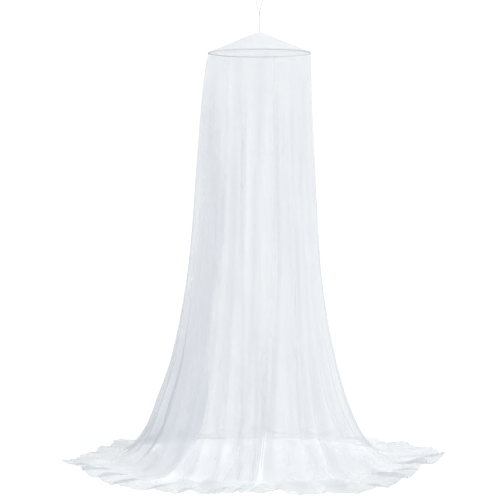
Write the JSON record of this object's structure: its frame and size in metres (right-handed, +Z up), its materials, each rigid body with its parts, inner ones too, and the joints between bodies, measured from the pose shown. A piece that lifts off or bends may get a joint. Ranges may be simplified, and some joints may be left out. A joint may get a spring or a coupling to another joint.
{
  "type": "mosquito net canopy and hoop",
  "caption": "Sheer round net canopy: a cone crown on a cloth-covered hoop, a long gathered wall with a lapped front entrance, and a hem spread on the floor.",
  "frame": {"origin": "inside of the top of the hanging loop, where a ceiling hook bears; the floor is 2.745 m below it", "axes": "+Z up, -Y the front with the lapped entrance, +X to the right seen from the front"},
  "size_m": [2.277, 2.152, 2.7473],
  "materials": {
    "netting": "sheer white polyester netting with a fine even mesh, matt",
    "tape": "white woven tape, matt",
    "rod": "white plastic rod, satin",
    "cord": "white twisted cord, matt"
  },
  "bodies": {
    "root": {"net_skirt": "netting", "net_crown": "netting", "hoop_tape": "tape", "hoop": "rod", "hanging_cord": "cord", "cord_whipping": "cord", "hanging_loop": "cord"}
  },
  "joints": []
}
